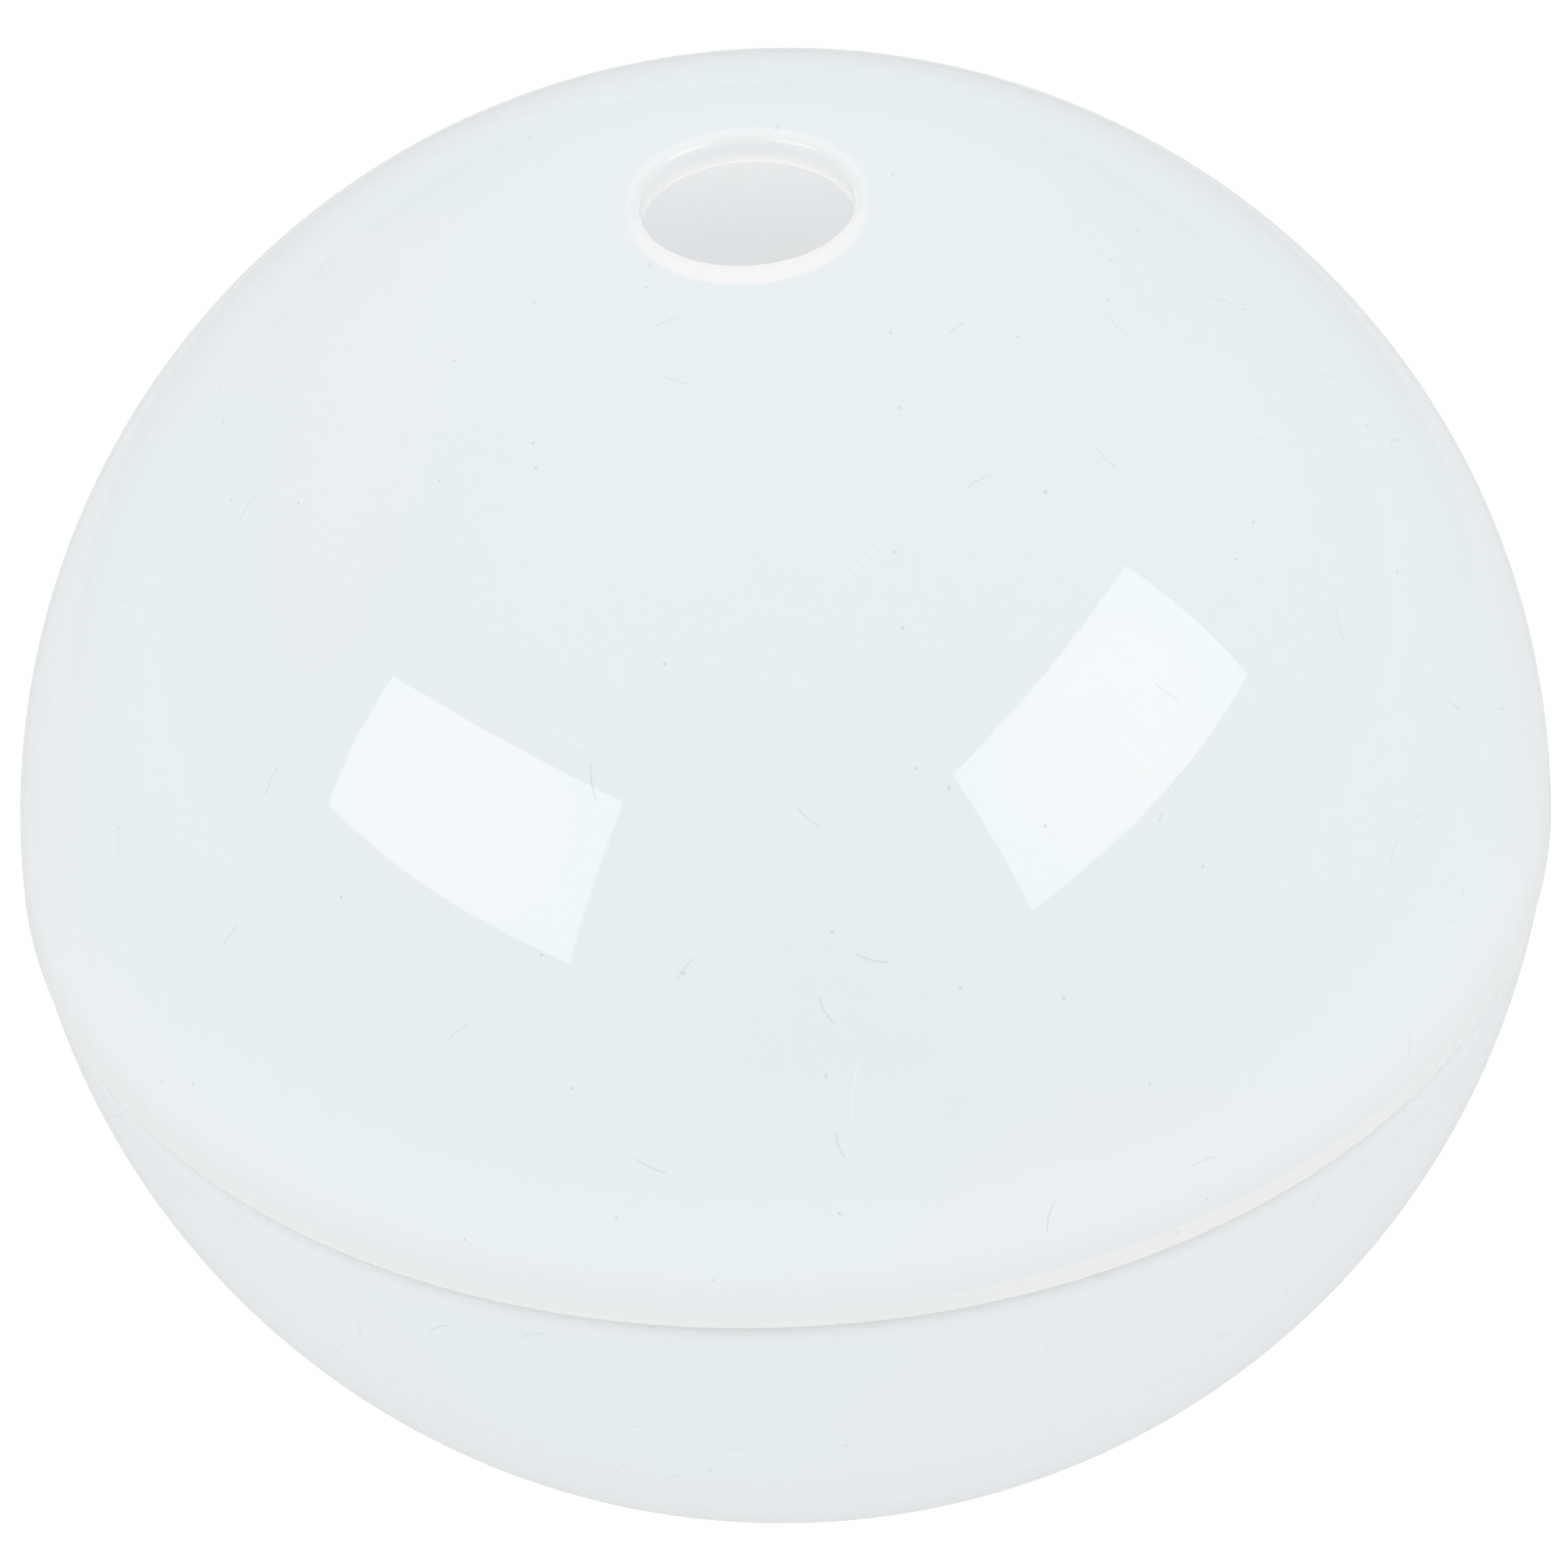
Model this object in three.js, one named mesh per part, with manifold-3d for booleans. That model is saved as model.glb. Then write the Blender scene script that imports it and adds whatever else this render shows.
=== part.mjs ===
// Ball-type fence post cap: two glossy shells that meet at a rim around the middle, with a socket,
// its ring nut, grip rings and a centre screw inside.
// Millimetres, +Z up, origin at the centre of the base shell's flat foot.

import * as THREE from "three";
import { mergeVertices } from "three/addons/utils/BufferGeometryUtils.js";
import Module from "manifold-3d";

const wasm = await Module();
wasm.setup();

// ---- driving dimensions ----

const GAP = 0.3; // clearance left between neighbouring pieces
const LATHE_STEPS = 48;
const SMALL_LATHE_STEPS = 24;

const BALL_RADIUS = 50;
const SHELL_WALL = 2.3;
const RIM_HEIGHT = 35; // the plane where the two shells meet
const BASE_SPHERE_HEIGHT = 40; // centre of the base shell's sphere
const EDGE_ROUNDING = 0.7;

const CROWN_HOLE_RADIUS = 6.7;
const LIP_ROUNDING = 0.8;

const SPIGOT_RISE = 3.6; // how far the base shell reaches up inside the crown shell
const SPIGOT_WALL = 2.2;
const SEAL_WIDTH = 1;
const SEAL_HEIGHT = 1.4;
const SEAL_START = 1; // above the rim plane

const POST_RADIUS = 21.2;
const POST_PLAY = 0.3;
const SLEEVE_WALL = 2.6;
const SLEEVE_CHAMFER = 1;
const STOP_HEIGHT = 36; // underside of the stop plate, where the post ends
const STOP_THICKNESS = 3.5;
const BOSS_RADIUS = 8;
const BOSS_RISE = 1.5;
const RIB_COUNT = 6;
const RIB_THICKNESS = 2;
const RIB_EMBED = 0.5; // how far a rib runs into the boss and the plate

const FLANGE_RADIUS = 28.2;
const FLANGE_THICKNESS = 2;
const FLOOR_THICKNESS = 2.5;

const NUT_HEIGHT = 5;
const NUT_RADIUS = 29.5;
const NUT_NOTCHES = 8;
const NUT_NOTCH_WIDTH = 6;
const NUT_NOTCH_DEPTH = 2;
const NUT_NOTCH_START = 2; // above the nut's underside

const GRIP_HEIGHTS = { grip_ring_lower: 9, grip_ring_upper: 29 };
const GRIP_HEIGHT = 2;
const GRIP_GROOVE_DEPTH = 1.4;
const GRIP_PROUD = 0.4; // how far a grip ring stands into the bore

const SCREW_RADIUS = 2.5;
const SCREW_LENGTH = 20;
const SCREW_TIP = 4;
const SCREW_PITCH = 2;
const SCREW_THREAD_DEPTH = 0.6;
const SCREW_THREADS = 5;
const SCREW_HOLE_RADIUS = 2.9;
const HEAD_RADIUS = 4.8;
const HEAD_HEIGHT = 3.2;
const DRIVE_WIDTH = 1.1;
const DRIVE_SPAN = 5.2;
const DRIVE_DEPTH = 2;

const WASHER_RADIUS = 6.5;
const STEEL_WASHER_THICKNESS = 1;
const SEALING_WASHER_THICKNESS = 1.4;

// ---- sizes that follow from them ----

const SHELL_INNER_RADIUS = BALL_RADIUS - SHELL_WALL;
const BORE_RADIUS = POST_RADIUS + POST_PLAY;
const SLEEVE_RADIUS = BORE_RADIUS + SLEEVE_WALL;
const FLOOR_UNDERSIDE = FLANGE_THICKNESS + GAP;
const FLOOR_TOP = FLOOR_UNDERSIDE + FLOOR_THICKNESS;
const NUT_UNDERSIDE = FLOOR_TOP + GAP;
const PLATE_TOP = STOP_HEIGHT + STOP_THICKNESS;
const BOSS_TOP = PLATE_TOP + BOSS_RISE;
const SPIGOT_RADIUS = SHELL_INNER_RADIUS - GAP;
const SEALING_WASHER_HEIGHT = BOSS_TOP + GAP;
const STEEL_WASHER_HEIGHT = SEALING_WASHER_HEIGHT + SEALING_WASHER_THICKNESS + GAP;
const HEAD_UNDERSIDE = STEEL_WASHER_HEIGHT + STEEL_WASHER_THICKNESS + GAP;

// ---- materials ----

function material(color, roughness, metalness = 0) {
  return new THREE.MeshStandardMaterial({ color, roughness, metalness });
}

const opalPlastic = () => material(0xe7eff1, 0.12);
const paleGreyPlastic = () => material(0xccd1d1, 0.5);
const blackRubber = () => material(0x24262a, 0.85);
const whiteSilicone = () => material(0xe4e8e8, 0.6);
const stainlessSteel = () => material(0xb9bcbf, 0.3, 1);

// ---- outline helpers: every outline is a list of [radius, height] points, anticlockwise ----

/** Points on a circle around [radius, height], from one angle to another, in radians. */
function arc(radius, height, size, from, to, steps) {
  const points = [];
  for (let i = 0; i <= steps; i += 1) {
    const angle = from + ((to - from) * i) / steps;
    points.push([radius + size * Math.cos(angle), height + size * Math.sin(angle)]);
  }
  return points;
}

/** The angle at which a sphere of this radius, centred on the axis, reaches a height above its centre. */
function angleAtHeight(sphereRadius, height) {
  return Math.asin(height / sphereRadius);
}

/** The screw thread's grooves, upwards from the point. */
function threadPoints(start) {
  const points = [];
  for (let turn = 0; turn < SCREW_THREADS; turn += 1) {
    const height = start + turn * SCREW_PITCH;
    points.push([SCREW_RADIUS, height + SCREW_PITCH * 0.25]);
    points.push([SCREW_RADIUS - SCREW_THREAD_DEPTH, height + SCREW_PITCH * 0.5]);
    points.push([SCREW_RADIUS, height + SCREW_PITCH * 0.75]);
  }
  return points;
}

/** Turns an outline around the Z axis. It starts and ends on the axis, or is closed into a ring. */
function turned(outline, steps = LATHE_STEPS) {
  const points = outline.map(([radius, height]) => new THREE.Vector2(radius, height));
  if (points[0].x > 0) {
    points.push(points[0].clone());
  }
  const geometry = new THREE.LatheGeometry(points, steps);
  geometry.rotateX(Math.PI / 2);
  return merged(geometry);
}

/** A ring with a plain rectangular section. */
function ring(innerRadius, outerRadius, bottom, height, steps = LATHE_STEPS) {
  const outline = [
    [innerRadius, bottom],
    [outerRadius, bottom],
    [outerRadius, bottom + height],
    [innerRadius, bottom + height],
  ];
  return turned(outline, steps);
}

// ---- boolean helpers ----

function merged(geometry) {
  geometry.deleteAttribute("normal");
  geometry.deleteAttribute("uv");
  return mergeVertices(geometry, 1e-4);
}

function toManifold(geometry) {
  const vertProperties = new Float32Array(geometry.attributes.position.array);
  const triVerts = new Uint32Array(geometry.index.array);
  return new wasm.Manifold(new wasm.Mesh({ numProp: 3, vertProperties, triVerts }));
}

function toGeometry(manifold) {
  const mesh = manifold.getMesh();
  const geometry = new THREE.BufferGeometry();
  geometry.setAttribute("position", new THREE.BufferAttribute(mesh.vertProperties, 3));
  geometry.setIndex(new THREE.BufferAttribute(mesh.triVerts, 1));
  return geometry;
}

/** A block with its size and centre given, turned around the Z axis. */
function block(size, centre, turn = 0) {
  const geometry = new THREE.BoxGeometry(...size);
  geometry.translate(...centre);
  geometry.rotateZ(turn);
  return toManifold(merged(geometry));
}

function piece(name, geometry, finish) {
  geometry.computeVertexNormals();
  const mesh = new THREE.Mesh(geometry, finish);
  mesh.name = name;
  return mesh;
}

// ---- the pieces ----

/** Upper half-ball with the crown hole. Its wall laps over the base shell's spigot. */
function crownShell() {
  const edgeCentre = Math.sqrt((BALL_RADIUS - EDGE_ROUNDING) ** 2 - EDGE_ROUNDING ** 2);
  const edgeAngle = angleAtHeight(BALL_RADIUS - EDGE_ROUNDING, EDGE_ROUNDING);
  const lipCentre = CROWN_HOLE_RADIUS + LIP_ROUNDING;
  const lipAngle = Math.acos(lipCentre / (BALL_RADIUS - LIP_ROUNDING));
  const lipHeight = (BALL_RADIUS - LIP_ROUNDING) * Math.sin(lipAngle);
  const innerAngle = Math.acos(CROWN_HOLE_RADIUS / SHELL_INNER_RADIUS);
  const outline = [
    [SHELL_INNER_RADIUS, RIM_HEIGHT],
    ...arc(edgeCentre, RIM_HEIGHT + EDGE_ROUNDING, EDGE_ROUNDING, -Math.PI / 2, edgeAngle, 3),
    ...arc(0, RIM_HEIGHT, BALL_RADIUS, edgeAngle, lipAngle, 12).slice(1, -1),
    ...arc(lipCentre, RIM_HEIGHT + lipHeight, LIP_ROUNDING, lipAngle, Math.PI, 3),
    ...arc(0, RIM_HEIGHT, SHELL_INNER_RADIUS, innerAngle, 0, 9).slice(0, -1),
  ];
  return turned(outline);
}

/** Lower bowl: flat foot, recess for the socket's flange, floor, and the spigot with its seal groove. */
function baseShell() {
  const shoulder = RIM_HEIGHT - GAP;
  const spigotTop = RIM_HEIGHT + SPIGOT_RISE;
  const spigotInner = SPIGOT_RADIUS - SPIGOT_WALL;
  const grooveBottom = RIM_HEIGHT + SEAL_START - GAP;
  const grooveTop = RIM_HEIGHT + SEAL_START + SEAL_HEIGHT + GAP;
  const grooveRadius = SPIGOT_RADIUS - SEAL_WIDTH - GAP;
  const fairingAngle = angleAtHeight(SHELL_INNER_RADIUS, -BASE_SPHERE_HEIGHT / 4);
  const footAngle = angleAtHeight(BALL_RADIUS, -BASE_SPHERE_HEIGHT);
  const shoulderAngle = angleAtHeight(BALL_RADIUS, shoulder - BASE_SPHERE_HEIGHT);
  const floorAngle = angleAtHeight(SHELL_INNER_RADIUS, FLOOR_TOP - BASE_SPHERE_HEIGHT);
  const outline = [
    [FLANGE_RADIUS + GAP, 0],
    ...arc(0, BASE_SPHERE_HEIGHT, BALL_RADIUS, footAngle, shoulderAngle, 9),
    [SPIGOT_RADIUS, shoulder],
    [SPIGOT_RADIUS, grooveBottom],
    [grooveRadius, grooveBottom],
    [grooveRadius, grooveTop],
    [SPIGOT_RADIUS, grooveTop],
    [SPIGOT_RADIUS, spigotTop],
    [spigotInner, spigotTop],
    [spigotInner, shoulder - 1],
    ...arc(0, BASE_SPHERE_HEIGHT, SHELL_INNER_RADIUS, fairingAngle, floorAngle, 6),
    [SLEEVE_RADIUS + GAP, FLOOR_TOP],
    [SLEEVE_RADIUS + GAP, FLOOR_UNDERSIDE],
    [FLANGE_RADIUS + GAP, FLOOR_UNDERSIDE],
  ];
  return turned(outline);
}

/** Soft ring in the spigot's groove, which grips the crown shell. */
function rimSealRing() {
  const inner = SPIGOT_RADIUS - SEAL_WIDTH;
  return ring(inner, SPIGOT_RADIUS, RIM_HEIGHT + SEAL_START, SEAL_HEIGHT);
}

/** Groove in the socket's bore that holds one grip ring. */
function gripGroove(height) {
  const bottom = height - GAP;
  const top = height + GRIP_HEIGHT + GAP;
  const depth = BORE_RADIUS + GRIP_GROOVE_DEPTH;
  return [
    [BORE_RADIUS, top],
    [depth, top],
    [depth, bottom],
    [BORE_RADIUS, bottom],
  ];
}

/** One rib of the stop plate, from the boss out to the sleeve's edge. */
function stopPlateRib(index) {
  const from = BOSS_RADIUS - RIB_EMBED;
  const to = SLEEVE_RADIUS - SLEEVE_CHAMFER;
  const height = BOSS_RISE - GAP + RIB_EMBED;
  const centre = [(from + to) / 2, 0, PLATE_TOP - RIB_EMBED + height / 2];
  return block([to - from, RIB_THICKNESS, height], centre, (index * 2 * Math.PI) / RIB_COUNT);
}

/** Sleeve that slides over the post, with its flange, stop plate and ribs. */
function postSocket() {
  const outline = [
    [BORE_RADIUS + SLEEVE_CHAMFER, 0],
    [FLANGE_RADIUS, 0],
    [FLANGE_RADIUS, FLANGE_THICKNESS],
    [SLEEVE_RADIUS, FLANGE_THICKNESS],
    [SLEEVE_RADIUS, PLATE_TOP - SLEEVE_CHAMFER],
    [SLEEVE_RADIUS - SLEEVE_CHAMFER, PLATE_TOP],
    [BOSS_RADIUS, PLATE_TOP],
    [BOSS_RADIUS, BOSS_TOP],
    [SCREW_HOLE_RADIUS, BOSS_TOP],
    [SCREW_HOLE_RADIUS, STOP_HEIGHT],
    [BORE_RADIUS, STOP_HEIGHT],
    ...gripGroove(GRIP_HEIGHTS.grip_ring_upper),
    ...gripGroove(GRIP_HEIGHTS.grip_ring_lower),
    [BORE_RADIUS, SLEEVE_CHAMFER],
  ];
  let socket = toManifold(turned(outline));
  for (let index = 0; index < RIB_COUNT; index += 1) {
    socket = socket.add(stopPlateRib(index));
  }
  return toGeometry(socket);
}

/** Ring nut with notches for a pin spanner. */
function socketNut() {
  let nut = toManifold(ring(SLEEVE_RADIUS + GAP, NUT_RADIUS, NUT_UNDERSIDE, NUT_HEIGHT));
  const size = [2 * NUT_NOTCH_DEPTH, NUT_NOTCH_WIDTH, NUT_HEIGHT];
  const centre = [NUT_RADIUS, 0, NUT_UNDERSIDE + NUT_NOTCH_START + NUT_HEIGHT / 2];
  for (let index = 0; index < NUT_NOTCHES; index += 1) {
    nut = nut.subtract(block(size, centre, ((index + 0.5) * 2 * Math.PI) / NUT_NOTCHES));
  }
  return toGeometry(nut);
}

/** Soft ring with a rounded nose that presses on the post. */
function gripRing(height) {
  const outer = BORE_RADIUS + GRIP_GROOVE_DEPTH - GAP;
  const nose = BORE_RADIUS - GRIP_PROUD;
  return turned([
    [BORE_RADIUS, height],
    [outer, height],
    [outer, height + GRIP_HEIGHT],
    [BORE_RADIUS, height + GRIP_HEIGHT],
    [nose, height + GRIP_HEIGHT * 0.65],
    [nose, height + GRIP_HEIGHT * 0.35],
  ]);
}

/** Pan-head screw with a cross recess; it bites into the post's top. */
function fixingScrew() {
  const tip = HEAD_UNDERSIDE - SCREW_LENGTH;
  const outline = [
    [0, tip],
    ...threadPoints(tip + SCREW_TIP),
    [SCREW_RADIUS, HEAD_UNDERSIDE],
    [HEAD_RADIUS, HEAD_UNDERSIDE],
    [HEAD_RADIUS, HEAD_UNDERSIDE + HEAD_HEIGHT * 0.4],
    [HEAD_RADIUS * 0.87, HEAD_UNDERSIDE + HEAD_HEIGHT * 0.8],
    [HEAD_RADIUS * 0.6, HEAD_UNDERSIDE + HEAD_HEIGHT],
    [0, HEAD_UNDERSIDE + HEAD_HEIGHT],
  ];
  let screw = toManifold(turned(outline, SMALL_LATHE_STEPS));
  const size = [DRIVE_SPAN, DRIVE_WIDTH, 2 * DRIVE_DEPTH];
  const centre = [0, 0, HEAD_UNDERSIDE + HEAD_HEIGHT];
  for (const turn of [0, Math.PI / 2]) {
    screw = screw.subtract(block(size, centre, turn));
  }
  return toGeometry(screw);
}

function washer(bottom, thickness) {
  return ring(SCREW_HOLE_RADIUS, WASHER_RADIUS, bottom, thickness, SMALL_LATHE_STEPS);
}

// ---- the assembly ----

const cap = new THREE.Group();
cap.add(piece("crown_shell", crownShell(), opalPlastic()));
cap.add(piece("base_shell", baseShell(), opalPlastic()));
cap.add(piece("rim_seal_ring", rimSealRing(), whiteSilicone()));
cap.add(piece("post_socket", postSocket(), paleGreyPlastic()));
cap.add(piece("socket_nut", socketNut(), paleGreyPlastic()));
for (const [name, height] of Object.entries(GRIP_HEIGHTS)) {
  cap.add(piece(name, gripRing(height), blackRubber()));
}
cap.add(piece("sealing_washer", washer(SEALING_WASHER_HEIGHT, SEALING_WASHER_THICKNESS), blackRubber()));
cap.add(piece("steel_washer", washer(STEEL_WASHER_HEIGHT, STEEL_WASHER_THICKNESS), stainlessSteel()));
cap.add(piece("fixing_screw", fixingScrew(), stainlessSteel()));

export default cap;
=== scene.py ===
import math

import bmesh
import bpy
from mathutils import Matrix, Vector, noise


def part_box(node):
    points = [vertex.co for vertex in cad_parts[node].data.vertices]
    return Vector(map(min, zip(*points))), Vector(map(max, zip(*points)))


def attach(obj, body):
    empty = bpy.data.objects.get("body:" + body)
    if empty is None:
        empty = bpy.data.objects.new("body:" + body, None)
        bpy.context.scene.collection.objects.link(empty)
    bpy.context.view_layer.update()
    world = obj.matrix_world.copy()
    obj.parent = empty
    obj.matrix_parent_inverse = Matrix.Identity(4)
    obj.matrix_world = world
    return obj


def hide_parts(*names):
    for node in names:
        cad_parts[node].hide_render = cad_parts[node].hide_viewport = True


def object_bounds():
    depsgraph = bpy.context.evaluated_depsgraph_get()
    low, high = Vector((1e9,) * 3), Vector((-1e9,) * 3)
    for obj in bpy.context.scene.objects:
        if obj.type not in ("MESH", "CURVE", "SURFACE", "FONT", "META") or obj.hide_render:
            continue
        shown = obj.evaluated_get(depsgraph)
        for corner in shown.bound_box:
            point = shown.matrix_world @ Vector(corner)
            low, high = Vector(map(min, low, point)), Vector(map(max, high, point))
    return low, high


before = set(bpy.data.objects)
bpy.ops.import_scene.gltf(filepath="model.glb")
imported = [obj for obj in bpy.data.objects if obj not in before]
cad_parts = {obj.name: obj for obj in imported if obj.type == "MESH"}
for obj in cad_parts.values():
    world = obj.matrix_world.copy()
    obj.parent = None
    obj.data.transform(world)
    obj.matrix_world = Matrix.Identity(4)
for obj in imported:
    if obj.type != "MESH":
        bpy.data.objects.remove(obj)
cad_low, cad_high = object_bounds()

# ---- sizes, in metres: boxes from the frame, then the driving dimensions ----

MM = 0.001

crown_low, crown_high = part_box("crown_shell")
base_low, base_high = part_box("base_shell")
seal_low, seal_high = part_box("rim_seal_ring")
socket_low, socket_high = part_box("post_socket")
nut_low, nut_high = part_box("socket_nut")
screw_low, screw_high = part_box("fixing_screw")

GAP = 0.3 * MM  # clearance between neighbouring pieces
BALL_RADIUS = crown_high.x
RIM_Z = crown_low.z  # the plane where the two shells meet
WALL = 2.3 * MM
INNER_RADIUS = BALL_RADIUS - WALL
EDGE_ROUNDING = 0.6 * MM
CROWN_HOLE_RADIUS = 6.7 * MM
LIP_ROUNDING = 0.8 * MM
LIP_EDGE = CROWN_HOLE_RADIUS + LIP_ROUNDING

BASE_SPHERE_Z = RIM_Z + 5 * MM  # centre of the base shell's sphere
RIM_SEAM = 0.04 * MM  # the fine line that shows where the two shells meet
SHOULDER_BEND = 1.5 * MM  # the base shell's shoulder leans in over this height,
SHOULDER_INSET = 0.6 * MM  # by this much, so that it meets the crown shell's rounded edge
SPIGOT_WALL = 2.2 * MM
SEAL_WIDTH = 1 * MM
FAIRING_DROP = 10 * MM  # the bowl's inner wall starts this far below its sphere's centre

SLEEVE_RADIUS = 24.1 * MM
SLEEVE_CHAMFER = 1 * MM
BORE_RADIUS = 21.5 * MM
PLATE_UNDERSIDE = 36 * MM
PLATE_TOP = socket_high.z - 1.5 * MM
BOSS_RADIUS = 8 * MM
FLANGE_THICKNESS = 2 * MM
SLEEVE_THREAD_PITCH = 2 * MM
SLEEVE_THREAD_DEPTH = 0.6 * MM
THREAD_ABOVE_NUT = 2 * MM
GRIP_NOSE = 0.4 * MM  # how far a grip ring stands out into the bore
RIB_COUNT = 6
RIB_THICKNESS = 2 * MM
RIB_EMBED = 0.5 * MM  # how far a rib runs into the boss and the plate
RIB_SETBACK = 1.4 * MM  # from the sleeve's outside to a rib's end
NUT_NOTCHES = 8
NUT_NOTCH_WIDTH = 6 * MM
NUT_NOTCH_DEPTH = 2 * MM

SCREW_RADIUS = 2.5 * MM
SCREW_HOLE_RADIUS = 2.9 * MM
SCREW_PITCH = 2 * MM
SCREW_THREAD_DEPTH = 0.6 * MM
SCREW_TIP = 4 * MM
SCREW_PLAIN_SHANK = 4 * MM
SCREW_FILLET = 0.3 * MM
HEAD_HEIGHT = 3.2 * MM
HEAD_EDGE = 0.5 * MM
HEAD_DOME = 0.45 * screw_high.x
RECESS_SPAN = 5.2 * MM
RECESS_WIDTH = 1.1 * MM
RECESS_DEPTH = 2 * MM
RECESS_TURN = 0.02  # radians, so that no cut runs exactly along a mesh edge

CUT_EDGE_ROUNDING = 0.15 * MM

SHELL_STEPS = 288
RING_STEPS = 192
NUT_STEPS = 96
SMALL_STEPS = 72

# ---- colours of the milky plastic, and of the light painted on it ----

OPAL_COLOR = (0.81, 0.872, 0.893)
OPAL_LAVENDER = (0.82, 0.858, 0.888)
OPAL_CREAM = (0.825, 0.865, 0.86)
OPAL_SHADE = (0.72, 0.78, 0.80)
# painted light on the shells near the rim, and also the colour of the light scuffs
OPAL_SCUFF_AND_PAINTED_LIGHT = (0.90, 0.94, 0.965)
# painted light along the shells' rim edges
OPAL_PAINTED_EDGE_LIGHT = (0.91, 0.965, 0.995)
# painted glow round the crown hole
OPAL_GLOW = (0.87, 0.92, 0.95)
# painted warm light: the crescent by the crown hole and a highlight stretch on the crown's rim band
OPAL_PAINTED_WARM_LIGHT = (0.98, 0.96, 0.95)
OPAL_DEPTH = 2.5 * MM  # how far light wanders in it
LINT_GREY = (0.35, 0.36, 0.37)
CRESCENT_SHIFT = 1.5 * MM  # how far the painted bright crescent's circle lies off the crown hole's

# ---- light ----

SKY_DIFFUSE = 0.955
SKY_REFLECTED = 0.5
SKY_TO_CAMERA = 1.1

FLOOR_SIZE = 40
FLOOR_DIFFUSE = 0.96
FLOOR_TO_CAMERA = 1.12
FLOOR_SHADOW_SHARE = 0.12  # the share of the floor's light that a shadow can take away
SHEET_RADIUS = 165 * MM
SHEET_NEAR = 0.76  # how bright the sheet is in reflections
SHEET_AWAY = 0.66  # and the floor beyond it

SOFTBOX_DISTANCE = 0.8
SOFTBOX_STRENGTH = 4.3
SOFTBOX_FADE = 0.22
SOFTBOX_COLOR = (1.0, 0.74, 0.69)
SOFTBOX_END_COLOR = (0.86, 0.93, 1.0)

INNER_LAMP_POWER = 0.040
INNER_LAMP_COLOR = (1, 0.86, 0.83)
INNER_LAMP_SIZE = 8 * MM
INNER_LAMP_PLACE = (0, 4 * MM, RIM_Z + 12 * MM)


# ---- outlines: closed lists of (radius, height) points ----

def arc(radius, height, size, start, end, steps):
    """Points on a circle round (radius, height), between two angles in radians."""
    angles = [start + (end - start) * i / steps for i in range(steps + 1)]
    return [(radius + size * math.cos(a), height + size * math.sin(a)) for a in angles]


def rounded(corner_list, fillet, steps=4):
    """A closed outline through these corners, with each one rounded off."""
    points = []
    count = len(corner_list)
    for i, corner in enumerate(corner_list):
        here = Vector(corner)
        before = Vector(corner_list[i - 1]) - here
        after = Vector(corner_list[(i + 1) % count]) - here
        start = here + before.normalized() * min(fillet, 0.45 * before.length)
        end = here + after.normalized() * min(fillet, 0.45 * after.length)
        for step in range(steps + 1):
            t = step / steps
            points.append(tuple(start.lerp(here, t).lerp(here.lerp(end, t), t)))
    return points


def rounded_box(inner, outer, bottom, top, fillet):
    return rounded([(inner, bottom), (outer, bottom), (outer, top), (inner, top)], fillet)


# ---- mesh helpers ----

def new_piece(name, vertices, faces):
    mesh = bpy.data.meshes.new(name)
    mesh.from_pydata(vertices, [], faces)
    tidy_up(mesh)
    piece = bpy.data.objects.new(name, mesh)
    bpy.context.scene.collection.objects.link(piece)
    return piece


def tidy_up(mesh):
    """Joins doubled points, turns the faces outwards and shades them smooth."""
    work = bmesh.new()
    work.from_mesh(mesh)
    bmesh.ops.remove_doubles(work, verts=work.verts, dist=1e-7)
    bmesh.ops.recalc_face_normals(work, faces=work.faces)
    work.to_mesh(mesh)
    work.free()
    for polygon in mesh.polygons:
        polygon.use_smooth = True
    mesh.set_sharp_from_angle(angle=math.radians(35))


def turned(name, outline, steps):
    """A piece turned round the Z axis from a closed outline."""
    rings = len(outline)
    vertices = []
    for i in range(steps):
        angle = 2 * math.pi * i / steps
        for radius, height in outline:
            vertices.append((radius * math.cos(angle), radius * math.sin(angle), height))
    faces = []
    for i in range(steps):
        here, there = i * rings, ((i + 1) % steps) * rings
        for j in range(rings):
            k = (j + 1) % rings
            faces.append((here + j, there + j, there + k, here + k))
    return new_piece(name, vertices, faces)


def ripple(piece, height, wavelength):
    """Moves the surface in and out a little, as a moulding that has shrunk unevenly."""
    vertices = piece.data.vertices
    normals = [vertex.normal.copy() for vertex in vertices]
    for vertex, normal in zip(vertices, normals):
        vertex.co += normal * height * noise.noise(vertex.co / wavelength)


def cut_thread(piece, radius, pitch, depth, bottom, top):
    """Sinks a helical groove into the points at this radius, between two heights."""
    for vertex in piece.data.vertices:
        x, y, z = vertex.co
        if abs(math.hypot(x, y) - radius) > 0.05 * MM or not bottom < z < top:
            continue
        turn = (z - bottom) / pitch - math.atan2(y, x) / (2 * math.pi)
        groove = depth * (0.5 - 0.5 * math.cos(2 * math.pi * turn))
        ends = min(1, (z - bottom) / pitch, (top - z) / pitch)
        scale = 1 - groove * ends / radius
        vertex.co = (x * scale, y * scale, z)
    tidy_up(piece.data)


def block(size, centre, turn):
    """A plain block, turned round the Z axis."""
    mesh = bpy.data.meshes.new("block")
    work = bmesh.new()
    bmesh.ops.create_cube(work, size=1)
    place = Matrix.Rotation(turn, 4, "Z") @ Matrix.Translation(centre) @ Matrix.Diagonal((*size, 1))
    bmesh.ops.transform(work, matrix=place, verts=work.verts)
    work.to_mesh(mesh)
    work.free()
    piece = bpy.data.objects.new("block", mesh)
    bpy.context.scene.collection.objects.link(piece)
    return piece


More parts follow.
